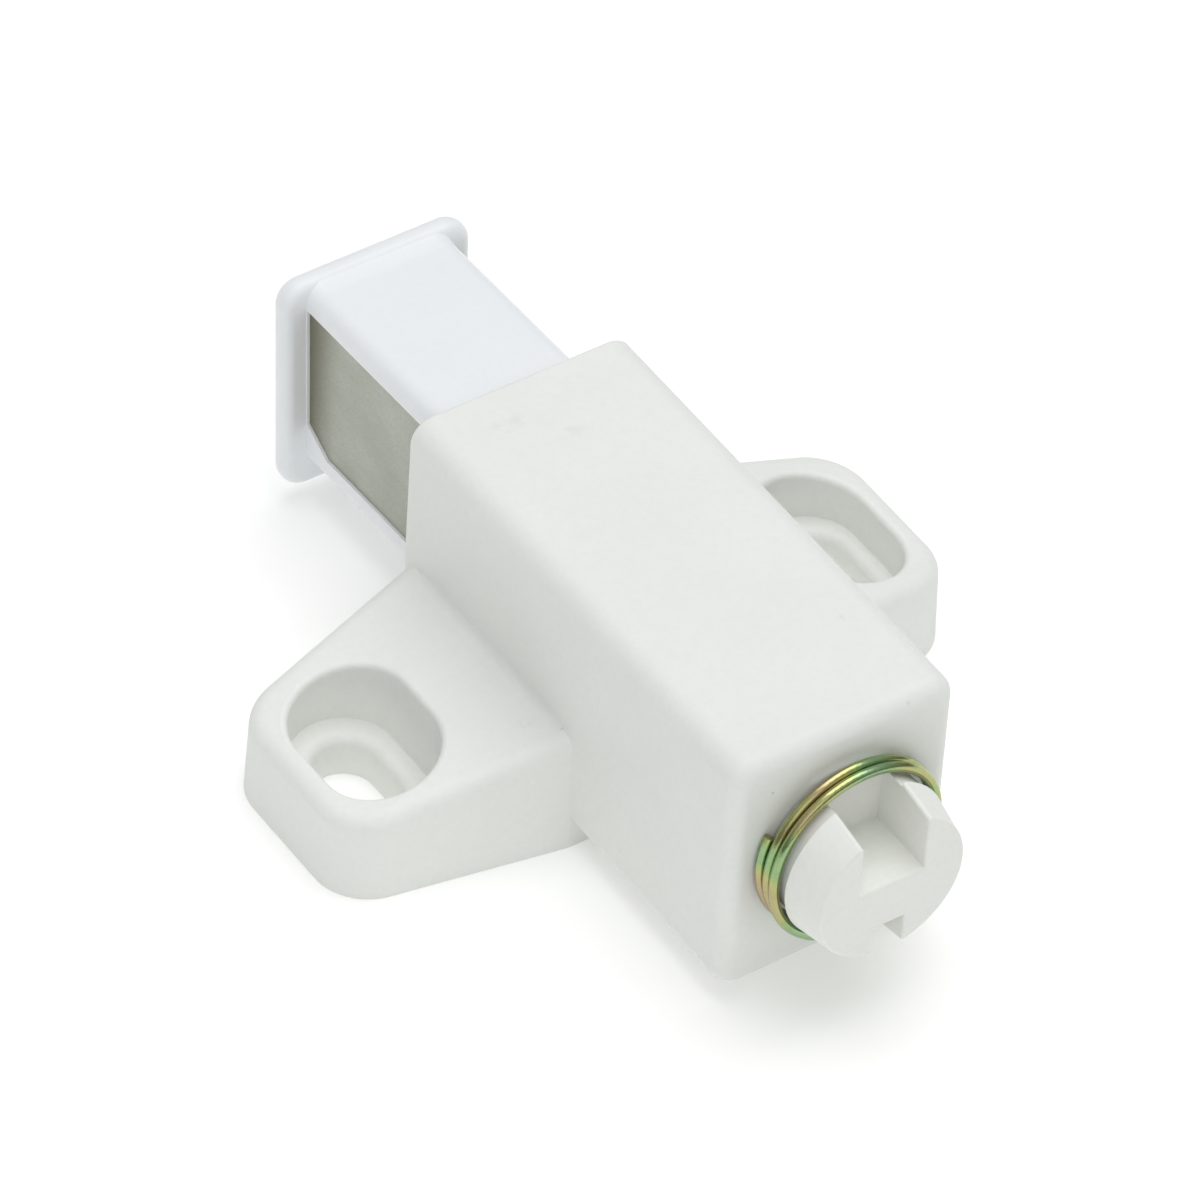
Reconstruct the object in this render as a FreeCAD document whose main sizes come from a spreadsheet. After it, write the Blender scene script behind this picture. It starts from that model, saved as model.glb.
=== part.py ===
import FreeCAD, Part
import Sketcher
import math
import os

V = FreeCAD.Vector
doc = FreeCAD.newDocument("TouchCatch")

# ---------------------------------------------------------------- driving sizes (mm)
# Frame: X across the ears, -Y the way the plunger points, +Z away from the panel the
# catch is screwed to. Origin midway between the two screw slots, on the mounting plane.
SIZES = [
    # housing box
    ("body_wide", 16.0), ("body_front", -9.9), ("body_rear", 25.1),
    ("body_low", 1.4), ("body_high", 20.0),
    ("body_edge", 1.6), ("body_end_edge", 1.1), ("body_mouth_edge", 0.3),
    # ears and base pad
    ("ear_reach", 22.6), ("ear_root_front", -9.59), ("ear_tip_front", -6.67),
    ("ear_root_rear", 9.1), ("ear_tip_rear", 6.36), ("ear_draft", 1.5),
    ("ear_root_high", 9.04), ("ear_tip_high", 5.83), ("ear_corner", 3.7),
    ("ear_edge", 1.05), ("ear_root_fillet", 0.6),
    # screw slots
    ("slot_spacing", 34.4), ("slot_out", 0.2), ("slot_wide", 4.2), ("slot_long", 7.2), ("slot_edge", 0.75),
    ("cbore_wide", 6.8), ("cbore_long", 10.7), ("cbore_floor", 3.05),
    ("cbore_top", 10.0), ("cbore_top_wide", 8.2), ("cbore_edge", 0.4),
    # plunger way through the housing
    ("axis_high", 11.2), ("way_wide", 12.2), ("way_low", 3.15), ("way_high", 18.9), ("way_corner", 1.5),
    ("rear_wall", 2.0), ("rear_hole_dia", 10.18),
    ("chan_wide", 7.4), ("chan_end", 4.0), ("chan_low", 1.9),
    # plunger head: loose on the stem, so its nose hangs a little
    ("head_high", 11.25), ("head_tilt", 2.86), ("tilt_at_y", -5.4), ("tilt_at_z", 11.42),
    ("nose_wide", 10.7), ("nose_tall", 14.13), ("nose_edge", 1.2),
    ("lip", 1.5), ("lip_low", 1.95), ("shoe_wide", 11.7), ("shoe_front", -3.4), ("shoe_rear", 3.0),
    ("flange_back", -25.08), ("flange_thick", 1.8), ("flange_wide", 13.8),
    ("flange_low", 2.4), ("flange_high", 18.67), ("flange_corner", 1.7), ("flange_front_edge", 0.9),
    ("flange_back_edge", 0.7), ("nose_in", 0.9), ("flare_tall", 0.22), ("flare_mid", 0.09),
    ("flare_long", 0.9),
    ("gusset_long", 2.3), ("gusset_tall", 1.42), ("sill", 0.06),
    ("socket_dia", 6.8), ("socket_deep", 4.4),
    # plunger stem: peg, spring seat, round stem and barbed tail
    ("peg_dia", 5.0), ("peg_front", -0.4), ("seat_front", 3.6), ("seat_rear", 4.6),
    ("seat_wide", 11.7), ("seat_tall", 15.0), ("seat_edge", 1.6),
    ("stem_dia", 10.0), ("neck_dia", 10.8), ("neck_front", 25.25),
    ("head_base_dia", 11.44), ("head_end_dia", 10.36),
    ("head_base", 27.7), ("head_end", 30.62),
    ("notch_wide", 4.64), ("notch_floor_up", 0.5), ("notch_back", 25.7), ("tail_edge", 0.22),
    ("key_wide", 2.34), ("key_top_down", 2.9), ("key_front", 22.0),
    # heart-shaped track under the plunger head
    ("track_wide", 1.6), ("track_deep", 1.1), ("track_start", 1.5), ("track_back", 0.35),
    ("travel", 11.0), ("arm", 9.0), ("swing_reach", 2.4),
    # pole plates and magnet
    ("plate_out", 5.15), ("plate_thick", 1.0), ("plate_proud", 0.3), ("plate_rear", -3.6),
    ("plate_gap", 0.28), ("magnet_rear", -4.0),
    # main spring
    ("coil_wire", 0.6), ("coil_mean_dia", 11.1), ("coil_turns", 10.0),
    # stop ring
    ("ring_wire", 0.66), ("ring_mean_dia", 11.96), ("ring_pitch", 0.7),
    ("ring_turns", 2.45), ("ring_lift", 0.05), ("ring_start", 25.53), ("ring_splay", 0.12),
    ("ring_end_splay", 0.4), ("ring_lean", 0.15),
    # cam follower
    ("pin_dia", 1.0), ("pin_high", 2.6), ("pin_bend", 0.65), ("pin_foot", 0.55),
    ("pin_tip", 4.9), ("pivot_hole_dia", 1.16), ("pivot_hole_low", 0.4),
]
sheet = doc.addObject("Spreadsheet::Sheet", "Sizes")
S = {}
for row, (name, value) in enumerate(SIZES, start=1):
    sheet.set("A%d" % row, name)
    sheet.set("B%d" % row, repr(value))
    sheet.setAlias("B%d" % row, name)
    S[name] = value
doc.recompute()


def bind(obj, prop, expr):
    """Bind a size to the sheet; words in expr that are aliases become Sizes.alias."""
    out, word = "", ""
    for ch in expr + " ":
        if ch.isalnum() or ch == "_":
            word += ch
        else:
            out += ("Sizes." + word) if word in S else word
            out += ch
            word = ""
    obj.setExpression(prop, out.strip())


def plane(body, role):
    for f in body.Origin.OriginFeatures:
        if f.Role == role:
            return f
    raise RuntimeError("no plane " + role)


def new_body(name):
    b = doc.addObject("PartDesign::Body", name)
    b.Label = name
    return b


def sketch(body, name, role, offset=None, axis="z"):
    """Sketch on one of the body's origin planes, moved along the plane's normal."""
    sk = body.newObject("Sketcher::SketchObject", name)
    sk.AttachmentSupport = [(plane(body, role), "")]
    sk.MapMode = "FlatFace"
    if offset is not None:
        bind(sk, ".AttachmentOffset.Base.z", offset)
    return sk


def put(sk, con, expr=None):
    i = sk.addConstraint(con)
    if expr is not None:
        bind(sk, "Constraints[%d]" % i, expr)
    return i


def rect(sk, x0, x1, y0, y1, ex0, ex1, ey0, ey1):
    """Axis-parallel rectangle; the four edges' distances to the axes are bound."""
    g = [sk.addGeometry(Part.LineSegment(V(*a, 0), V(*b, 0)), False) for a, b in (
        ((x0, y0), (x1, y0)), ((x1, y0), (x1, y1)), ((x1, y1), (x0, y1)), ((x0, y1), (x0, y0)))]
    for i in range(4):
        put(sk, Sketcher.Constraint("Coincident", g[i], 2, g[(i + 1) % 4], 1))
    put(sk, Sketcher.Constraint("Horizontal", g[0]))
    put(sk, Sketcher.Constraint("Horizontal", g[2]))
    put(sk, Sketcher.Constraint("Vertical", g[1]))
    put(sk, Sketcher.Constraint("Vertical", g[3]))
    put(sk, Sketcher.Constraint("DistanceX", -1, 1, g[0], 1, x0), ex0)
    put(sk, Sketcher.Constraint("DistanceX", -1, 1, g[0], 2, x1), ex1)
    put(sk, Sketcher.Constraint("DistanceY", -1, 1, g[0], 1, y0), ey0)
    put(sk, Sketcher.Constraint("DistanceY", -1, 1, g[2], 1, y1), ey1)
    return g


def round_rect(sk, x0, x1, y0, y1, r, ex0, ex1, ey0, ey1, er):
    """Axis-parallel rectangle with four equal round corners; edges and radius are bound."""
    c = [(x0 + r, y0 + r, math.pi), (x1 - r, y0 + r, 1.5 * math.pi), (x1 - r, y1 - r, 0), (x0 + r, y1 - r, 0.5 * math.pi)]
    bot = sk.addGeometry(Part.LineSegment(V(x0 + r, y0, 0), V(x1 - r, y0, 0)), False)
    rig = sk.addGeometry(Part.LineSegment(V(x1, y0 + r, 0), V(x1, y1 - r, 0)), False)
    top = sk.addGeometry(Part.LineSegment(V(x1 - r, y1, 0), V(x0 + r, y1, 0)), False)
    lef = sk.addGeometry(Part.LineSegment(V(x0, y1 - r, 0), V(x0, y0 + r, 0)), False)
    arcs = [sk.addGeometry(Part.ArcOfCircle(Part.Circle(V(cx, cy, 0), V(0, 0, 1), r), a, a + math.pi / 2), False)
            for cx, cy, a in c]
    order = [(lef, arcs[0], bot), (bot, arcs[1], rig), (rig, arcs[2], top), (top, arcs[3], lef)]
    for before, arc, after in order:
        put(sk, Sketcher.Constraint("Tangent", before, 2, arc, 1))
        put(sk, Sketcher.Constraint("Tangent", arc, 2, after, 1))
    for arc in arcs[1:]:
        put(sk, Sketcher.Constraint("Equal", arcs[0], arc))
    put(sk, Sketcher.Constraint("Radius", arcs[0], r), er)
    put(sk, Sketcher.Constraint("Horizontal", bot))
    put(sk, Sketcher.Constraint("Vertical", rig))
    put(sk, Sketcher.Constraint("DistanceX", -1, 1, lef, 1, x0), ex0)
    put(sk, Sketcher.Constraint("DistanceX", -1, 1, rig, 1, x1), ex1)
    put(sk, Sketcher.Constraint("DistanceY", -1, 1, bot, 1, y0), ey0)
    put(sk, Sketcher.Constraint("DistanceY", -1, 1, top, 1, y1), ey1)


def polygon(sk, pts):
    """Closed polygon; pts = [(x, y, x expr, y expr), ...], every corner bound."""
    n = len(pts)
    g = [sk.addGeometry(Part.LineSegment(V(pts[i][0], pts[i][1], 0),
                                         V(pts[(i + 1) % n][0], pts[(i + 1) % n][1], 0)), False)
         for i in range(n)]
    for i in range(n):
        put(sk, Sketcher.Constraint("Coincident", g[i], 2, g[(i + 1) % n], 1))
    for i in range(n):
        put(sk, Sketcher.Constraint("DistanceX", -1, 1, g[i], 1, pts[i][0]), pts[i][2])
        put(sk, Sketcher.Constraint("DistanceY", -1, 1, g[i], 1, pts[i][1]), pts[i][3])
    return g


def circle(sk, x, y, r, ex, ey, er):
    g = sk.addGeometry(Part.Circle(V(x, y, 0), V(0, 0, 1), r), False)
    put(sk, Sketcher.Constraint("DistanceX", -1, 1, g, 3, x), ex)
    put(sk, Sketcher.Constraint("DistanceY", -1, 1, g, 3, y), ey)
    put(sk, Sketcher.Constraint("Radius", g, r), er)
    return g


def obround_y(sk, x, half_w, half_l, ex, ew, el):
    """Slot that runs along the sketch's vertical axis, centred on (x, 0)."""
    s = half_l - half_w
    top = sk.addGeometry(Part.ArcOfCircle(Part.Circle(V(x, s, 0), V(0, 0, 1), half_w), 0, math.pi), False)
    bot = sk.addGeometry(Part.ArcOfCircle(Part.Circle(V(x, -s, 0), V(0, 0, 1), half_w), math.pi, 2 * math.pi), False)
    lef = sk.addGeometry(Part.LineSegment(V(x - half_w, s, 0), V(x - half_w, -s, 0)), False)
    rig = sk.addGeometry(Part.LineSegment(V(x + half_w, -s, 0), V(x + half_w, s, 0)), False)
    put(sk, Sketcher.Constraint("Tangent", top, 2, lef, 1))
    put(sk, Sketcher.Constraint("Tangent", lef, 2, bot, 1))
    put(sk, Sketcher.Constraint("Tangent", bot, 2, rig, 1))
    put(sk, Sketcher.Constraint("Tangent", rig, 2, top, 1))
    put(sk, Sketcher.Constraint("DistanceX", -1, 1, top, 3, x), ex)
    put(sk, Sketcher.Constraint("DistanceX", -1, 1, bot, 3, x), ex)
    put(sk, Sketcher.Constraint("Radius", top, half_w), ew)
    put(sk, Sketcher.Constraint("DistanceY", -1, 1, top, 3, s), "(%s) - (%s)" % (el, ew))
    put(sk, Sketcher.Constraint("DistanceY", -1, 1, bot, 3, -s), "(%s) - (%s)" % (ew, el))


def pad(body, name, sk, length, reverse=False, midplane=False):
    f = body.newObject("PartDesign::Pad", name)
    f.Profile = sk
    bind(f, "Length", length)
    f.Reversed = reverse
    f.Midplane = midplane
    doc.recompute()
    return f


def pocket(body, name, sk, length=None, reverse=False, midplane=False):
    before = body.Shape.Volume
    f = body.newObject("PartDesign::Pocket", name)
    f.Profile = sk
    if length is None:
        f.Type = 1
    else:
        bind(f, "Length", length)
    f.Reversed = reverse
    f.Midplane = midplane
    doc.recompute()
    if not body.Shape.Volume < before - 0.01:
        raise RuntimeError("pocket %s cut nothing (%.3f)" % (name, before))
    return f


def edges_where(shape, test):
    """Names of the edges whose points all pass the test."""
    out = []
    for i, e in enumerate(shape.Edges, start=1):
        a, b = e.ParameterRange
        pts = [e.valueAt(a + (b - a) * t) for t in (0.0, 0.25, 0.5, 0.75, 1.0)]
        if test(pts, e):
            out.append("Edge%d" % i)
    return out


def fillet(body, name, names, radius):
    if not names:
        raise RuntimeError("no edges for " + name)
    f = body.newObject("PartDesign::Fillet", name)
    f.Base = (body.Tip if body.Tip is not f else f.BaseFeature, names)
    bind(f, "Radius", radius)
    doc.recompute()
    if "Invalid" in f.State or "Error" in f.State or f.Shape.isNull() or not f.Shape.isValid():
        raise RuntimeError("fillet %s failed on %s" % (name, names))
    return f


def chamfer(body, name, names, size):
    f = body.newObject("PartDesign::Chamfer", name)
    f.Base = (body.Tip if body.Tip is not f else f.BaseFeature, names)
    bind(f, "Size", size)
    doc.recompute()
    if "Invalid" in f.State or "Error" in f.State or f.Shape.isNull() or not f.Shape.isValid():
        raise RuntimeError("chamfer %s failed" % name)
    return f


near = lambda a, b, tol=0.02: abs(a - b) < tol
hw = S["body_wide"] / 2
yf, yr, zl, zh = S["body_front"], S["body_rear"], S["body_low"], S["body_high"]

# ================================================================ housing
# One moulding: the box that guides the plunger, the two sloped ears and the base pad
# that joins the ears under the box.
housing = new_body("housing")

# Box, drawn on the XZ plane. The XZ plane's normal is -Y, so the sketch is moved to the
# rear end by a negative offset and padded towards the front.
sk = sketch(housing, "box_section", "XZ_Plane", "-body_rear")
rect(sk, -hw, hw, zl, zh, "-body_wide / 2", "body_wide / 2", "body_low", "body_high")
pad(housing, "box", sk, "body_rear - body_front")
fillet(housing, "box_long_edges", edges_where(housing.Shape, lambda p, e: near(abs(p[0].x), hw) and near(abs(p[4].x), hw)
       and (near(p[0].z, zl) or near(p[0].z, zh)) and near(p[0].z, p[4].z) and e.Length > 20), "body_edge")
fillet(housing, "box_rear_edges", edges_where(housing.Shape, lambda p, e: all(near(q.y, yr) for q in p)), "body_end_edge")
fillet(housing, "box_mouth_edges", edges_where(housing.Shape, lambda p, e: all(near(q.y, yf) for q in p)), "body_mouth_edge")

# Ears and pad, plan view: a band that narrows towards both tips, with round corners and
# sides that lean in a little going up.
xr = S["ear_reach"]
rf, tf, rr, tr_ = S["ear_root_front"], S["ear_tip_front"], S["ear_root_rear"], S["ear_tip_rear"]
sk = sketch(housing, "ear_plan", "XY_Plane")
polygon(sk, [
    (-xr, tf, "-ear_reach", "ear_tip_front"),
    (-hw, rf, "-body_wide / 2", "ear_root_front"),
    (hw, rf, "body_wide / 2", "ear_root_front"),
    (xr, tf, "ear_reach", "ear_tip_front"),
    (xr, tr_, "ear_reach", "ear_tip_rear"),
    (hw, rr, "body_wide / 2", "ear_root_rear"),
    (-hw, rr, "-body_wide / 2", "ear_root_rear"),
    (-xr, tr_, "-ear_reach", "ear_tip_rear"),
])
ears = pad(housing, "ears", sk, "ear_root_high")
bind(ears, "TaperAngle", "-ear_draft")
doc.recompute()
fillet(housing, "ear_corners", edges_where(housing.Shape, lambda p, e: abs(p[0].z - p[4].z) > 5
       and all(abs(q.x) > xr - 1 for q in p)), "ear_corner")
# Sloped tops, cut away above a line from the ear's root to its tip.
slope = (S["ear_root_high"] - S["ear_tip_high"]) / (xr - hw)
for side, sg in (("left", 1), ("right", -1)):
    sk = sketch(housing, "ear_slope_" + side, "XZ_Plane")
    s = "" if sg > 0 else "-"
    pts = [
        (sg * hw, S["ear_root_high"], s + "body_wide / 2", "ear_root_high"),
        (sg * (xr + 3), S["ear_tip_high"] - 3 * slope, s + "(ear_reach + 3)",
         "ear_tip_high - 3 * (ear_root_high - ear_tip_high) / (ear_reach - body_wide / 2)"),
        (sg * (xr + 3), S["ear_root_high"] + 2, s + "(ear_reach + 3)", "ear_root_high + 2"),
        (sg * hw, S["ear_root_high"] + 2, s + "body_wide / 2", "ear_root_high + 2"),
    ]
    polygon(sk, pts)
    pocket(housing, "ear_top_" + side, sk, "4 * ear_root_rear", midplane=True)

# Round the ears' top rims (front, tip and rear edges of each sloped top).
def on_slope(q):
    return near(q.z, S["ear_root_high"] - slope * (abs(q.x) - hw), 0.03) and abs(q.x) > hw - 0.02
fillet(housing, "ear_rims", edges_where(housing.Shape, lambda p, e: all(on_slope(q) for q in p)
       and not all(near(abs(q.x), hw) for q in p)), "ear_edge")
# Soft inside corner where each ear's top meets the box: a strip with a hollow round face.
fr, al = S["ear_root_fillet"], math.atan(slope)
fh_ = fr * (1 - math.sin(al)) / math.cos(al)
al_e = "atan((ear_root_high - ear_tip_high) / (ear_reach - body_wide / 2))"
up_e = "ear_root_fillet * (1 - sin(%s)) / cos(%s)" % (al_e, al_e)
for side, sg in (("left", 1), ("right", -1)):
    s = "" if sg > 0 else "-"
    sk = sketch(housing, "ear_root_" + side, "XZ_Plane")
    zr = S["ear_root_high"]
    cx, cz = hw + fr, zr + fh_
    tx, tz = cx - fr * math.sin(al), cz - fr * math.cos(al)
    P = [V(sg * (hw - 0.4), cz, 0), V(sg * hw, cz, 0), V(sg * tx, tz, 0),
         V(sg * tx, zr - 0.6, 0), V(sg * (hw - 0.4), zr - 0.6, 0)]
    if sg > 0:
        arc = Part.ArcOfCircle(Part.Circle(V(cx, cz, 0), V(0, 0, 1), fr), math.pi, 1.5 * math.pi - al)
        ends = (1, 2)
    else:
        arc = Part.ArcOfCircle(Part.Circle(V(-cx, cz, 0), V(0, 0, 1), fr), 1.5 * math.pi + al, 2 * math.pi)
        ends = (2, 1)
    g = [sk.addGeometry(Part.LineSegment(P[0], P[1]), False), sk.addGeometry(arc, False),
         sk.addGeometry(Part.LineSegment(P[2], P[3]), False), sk.addGeometry(Part.LineSegment(P[3], P[4]), False),
         sk.addGeometry(Part.LineSegment(P[4], P[0]), False)]
    put(sk, Sketcher.Constraint("Coincident", g[0], 2, g[1], ends[0]))
    put(sk, Sketcher.Constraint("Coincident", g[1], ends[1], g[2], 1))
    for i in (2, 3, 4):
        put(sk, Sketcher.Constraint("Coincident", g[i], 2, g[i + 1 if i < 4 else 0], 1))
    put(sk, Sketcher.Constraint("Horizontal", g[0]))
    put(sk, Sketcher.Constraint("Vertical", g[2]))
    put(sk, Sketcher.Constraint("Horizontal", g[3]))
    put(sk, Sketcher.Constraint("Vertical", g[4]))
    put(sk, Sketcher.Constraint("Radius", g[1], fr), "ear_root_fillet")
    put(sk, Sketcher.Constraint("DistanceX", -1, 1, g[1], 3, sg * cx), s + "(body_wide / 2 + ear_root_fillet)")
    put(sk, Sketcher.Constraint("DistanceY", -1, 1, g[1], 3, cz), "ear_root_high + " + up_e)
    put(sk, Sketcher.Constraint("DistanceX", -1, 1, g[0], 1, P[0].x), s + "(body_wide / 2 - 0.4)")
    put(sk, Sketcher.Constraint("DistanceY", -1, 1, g[0], 1, cz), "ear_root_high + " + up_e)
    put(sk, Sketcher.Constraint("DistanceX", -1, 1, g[2], 1, P[2].x),
        s + "(body_wide / 2 + ear_root_fillet * (1 - sin(%s)))" % al_e)
    put(sk, Sketcher.Constraint("DistanceY", -1, 1, g[3], 1, zr - 0.6), "ear_root_high - 0.6")
    pad(housing, "ear_root_strip_" + side, sk, "2 * (ear_root_rear - ear_edge) - 0.7", midplane=True)

# Screw slots: counterbore for the screw head, then the slot right through.
px = S["slot_spacing"] / 2
for side, sg in (("left", 1), ("right", -1)):
    s = "" if sg > 0 else "-"
    low = sketch(housing, "cbore_plan_" + side, "XY_Plane", "cbore_floor")
    obround_y(low, sg * px, S["cbore_wide"] / 2, S["cbore_long"] / 2, s + "slot_spacing / 2", "cbore_wide / 2", "cbore_long / 2")
    top = sketch(housing, "cbore_top_" + side, "XY_Plane", "cbore_top")
    obround_y(top, sg * px, S["cbore_top_wide"] / 2, S["cbore_long"] / 2, s + "slot_spacing / 2", "cbore_top_wide / 2", "cbore_long / 2")
    doc.recompute()
    before = housing.Shape.Volume
    cb = housing.newObject("PartDesign::SubtractiveLoft", "cbore_" + side)
    cb.Profile = low
    cb.Sections = [top]
    cb.Ruled = True
    doc.recompute()
    if not housing.Shape.Volume < before - 50:
        raise RuntimeError("counterbore %s cut nothing" % side)
    sk = sketch(housing, "slot_plan_" + side, "XY_Plane", "-1")
    obround_y(sk, sg * (px + S["slot_out"]), S["slot_wide"] / 2, S["slot_long"] / 2, s + "(slot_spacing / 2 + slot_out)",
              "slot_wide / 2", "slot_long / 2")
    pocket(housing, "slot_" + side, sk, "10", reverse=True)
over_hole = lambda q: abs(abs(q.x) - px) < S["cbore_top_wide"] / 2 + 0.1 and abs(q.y) < S["cbore_long"] / 2 + 0.1
fillet(housing, "cbore_rims", edges_where(housing.Shape, lambda p, e: all(on_slope(q) and over_hole(q) for q in p)), "cbore_edge")
fillet(housing, "slot_rims", edges_where(housing.Shape, lambda p, e: all(near(q.z, S["cbore_floor"]) for q in p)
       and all(abs(abs(q.x) - px - S["slot_out"]) < S["slot_wide"] / 2 + 0.05 and abs(q.y) < S["slot_long"] / 2 + 0.05 for q in p)), "slot_edge")

# Way for the plunger, from the mouth to the rear wall.
ax, ww, wl, wh = S["axis_high"], S["way_wide"] / 2, S["way_low"], S["way_high"]
sk = sketch(housing, "way_section", "XZ_Plane", "-body_front")
rect(sk, -ww, ww, wl, wh, "-way_wide / 2", "way_wide / 2", "way_low", "way_high")
pocket(housing, "way", sk, "body_rear - rear_wall - body_front")
fillet(housing, "way_edges", edges_where(housing.Shape, lambda p, e: all(near(abs(q.x), ww) for q in p)
       and (near(p[0].z, wl) or near(p[0].z, wh)) and near(p[0].z, p[4].z) and e.Length > 20), "way_corner")
# Channel in the floor of the way, where the cam follower lies and swings.
sk = sketch(housing, "channel_section", "XZ_Plane", "-body_front")
rect(sk, -S["chan_wide"] / 2, S["chan_wide"] / 2, S["chan_low"], wl + 1,
     "-chan_wide / 2", "chan_wide / 2", "chan_low", "way_low + 1")
pocket(housing, "channel", sk, "chan_end - body_front")
# Hole for the follower's pivot leg.
pv = S["track_start"] - S["arm"]
sk = sketch(housing, "pivot_plan", "XY_Plane", "pivot_hole_low")
circle(sk, 0, pv, S["pivot_hole_dia"] / 2, "0", "track_start - arm", "pivot_hole_dia / 2")
pocket(housing, "pivot_hole", sk, "2.5", reverse=True)
# Round hole in the rear wall for the plunger's stem.
sk = sketch(housing, "rear_hole_section", "XZ_Plane", "-body_rear - 1")
circle(sk, 0, ax, S["rear_hole_dia"] / 2, "0", "axis_high", "rear_hole_dia / 2")
pocket(housing, "rear_hole", sk, "rear_wall + 2", reverse=True)

# ================================================================ plunger head
# One moulding: flange, top and bottom plates and shoe. It is drawn level, and its Placement
# tips it about a point inside the housing so that the nose hangs a little, as play allows.
head = new_body("plunger_head")
hz = S["head_high"]
nw, nt = S["nose_wide"] / 2, S["nose_tall"] / 2
fb, ft = S["flange_back"], S["flange_thick"]
# Flange, with round corners and soft rims.
fw, fl, fh = S["flange_wide"] / 2, S["flange_low"], S["flange_high"]
sk = sketch(head, "flange_section", "XZ_Plane", "-flange_back")
round_rect(sk, -fw, fw, fl, fh, S["flange_corner"], "-flange_wide / 2", "flange_wide / 2", "flange_low", "flange_high", "flange_corner")
pad(head, "flange", sk, "flange_thick")
fillet(head, "flange_front_rim", edges_where(head.Shape, lambda p, e: all(near(q.y, fb - ft) for q in p)), "flange_front_edge")
fillet(head, "flange_back_rim", edges_where(head.Shape, lambda p, e: all(near(q.y, fb) for q in p)), "flange_back_edge")
# Nose, run into the flange.
low, top = "head_high - nose_tall / 2", "head_high + nose_tall / 2"
sk = sketch(head, "nose_section", "XZ_Plane", "-shoe_rear")
round_rect(sk, -nw, nw, hz - nt, hz + nt, S["nose_edge"], "-nose_wide / 2", "nose_wide / 2", low, top, "nose_edge")
pad(head, "nose", sk, "shoe_rear - flange_back + nose_in")
# Soft rise from the nose to the flange.
secs = []
for name, y_e, grow, gval in (("flare_a", "-flange_back - flare_long", "0", 0.0),
                              ("flare_b", "-flange_back - flare_long * 0.2", "flare_mid", S["flare_mid"]),
                              ("flare_c", "-flange_back + flare_long * 0.4", "flare_tall", S["flare_tall"])):
    sk = sketch(head, name, "XZ_Plane", y_e)
    round_rect(sk, -nw, nw, hz - nt - gval, hz + nt + gval, S["nose_edge"], "-nose_wide / 2", "nose_wide / 2",
               low + " - " + grow, top + " + " + grow, "nose_edge")
    secs.append(sk)
doc.recompute()
flare = head.newObject("PartDesign::AdditiveLoft", "flare")
flare.Profile = secs[0]
flare.Sections = secs[1:]
flare.Ruled = False
doc.recompute()
# Shoe: the wider rear end that runs in the way.
sw = S["shoe_wide"] / 2
sk = sketch(head, "shoe_section", "XZ_Plane", "-shoe_rear")
rect(sk, -sw, sw, hz - nt + S["nose_edge"], hz + nt - S["nose_edge"], "-shoe_wide / 2", "shoe_wide / 2",
     "head_high - nose_tall / 2 + nose_edge", "head_high + nose_tall / 2 - nose_edge")
pad(head, "shoe", sk, "shoe_rear - shoe_front")
# Room for the magnet and the pole plates between the top and bottom plates, open at both sides.
sk = sketch(head, "window_side", "YZ_Plane")
zb, zt = hz - nt + S["lip_low"], hz + nt - S["lip"]
low_e, top_e = "head_high - nose_tall / 2 + lip_low", "head_high + nose_tall / 2 - lip"
polygon(sk, [
    (fb + S["gusset_long"], zb, "flange_back + gusset_long", low_e),
    (S["shoe_front"], zb, "shoe_front", low_e),
    (S["shoe_front"], zt, "shoe_front", top_e),
    (fb + S["sill"], zt, "flange_back + sill", top_e),
    (fb + S["sill"], zb + S["gusset_tall"], "flange_back + sill", low_e + " + gusset_tall"),
])
pocket(head, "window", sk, "2 * nose_wide", midplane=True)
# Slots in the flange that the pole plates pass through.
po, pt = S["plate_out"], S["plate_thick"]
for side, sg in (("left", 1), ("right", -1)):
    s = "" if sg > 0 else "-"
    sk = sketch(head, "flange_slot_" + side, "XZ_Plane", "-flange_back - sill - 0.01")
    xs = sorted([(sg * po, s + "plate_out"), (sg * (po - pt), s + "(plate_out - plate_thick)")])
    rect(sk, xs[0][0], xs[1][0], zb + S["gusset_tall"], zt, xs[0][1], xs[1][1], low_e + " + gusset_tall", top_e)
    pocket(head, "plate_slot_" + side, sk, "flange_thick + sill + 1", reverse=True)
# Round socket in the shoe's rear face for the stem's peg.
sk = sketch(head, "socket_section", "XZ_Plane", "-shoe_rear")
circle(sk, 0, hz, S["socket_dia"] / 2, "0", "head_high", "socket_dia / 2")
pocket(head, "socket", sk, "socket_deep", reverse=True)
# Heart-shaped track under the head: way in, latch pocket, way out. It starts track_back short
# of the follower's tip, because tipping the head moves its underside back by that much.
t0, tr, sx, ar = S["track_start"], S["travel"], S["swing_reach"], S["arm"]
ts = t0 - S["track_back"]
tip_y = ts + math.sqrt(ar * ar - sx * sx) - ar - tr
tip_e = "track_start - track_back + sqrt(arm ^ 2 - swing_reach ^ 2) - arm - travel"
runs = [
    ("way_in", (0, ts, "0", "track_start - track_back"), (-sx, tip_y, "-swing_reach", tip_e)),
    ("catch_in", (-sx, tip_y, "-swing_reach", tip_e), (0, tip_y + 1.9, "0", tip_e + " + 1.9")),
    ("catch_out", (0, tip_y + 1.9, "0", tip_e + " + 1.9"), (sx, tip_y, "swing_reach", tip_e)),
    ("way_out", (sx, tip_y, "swing_reach", tip_e), (0, ts, "0", "track_start - track_back")),
]
tw = S["track_wide"] / 2
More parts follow.
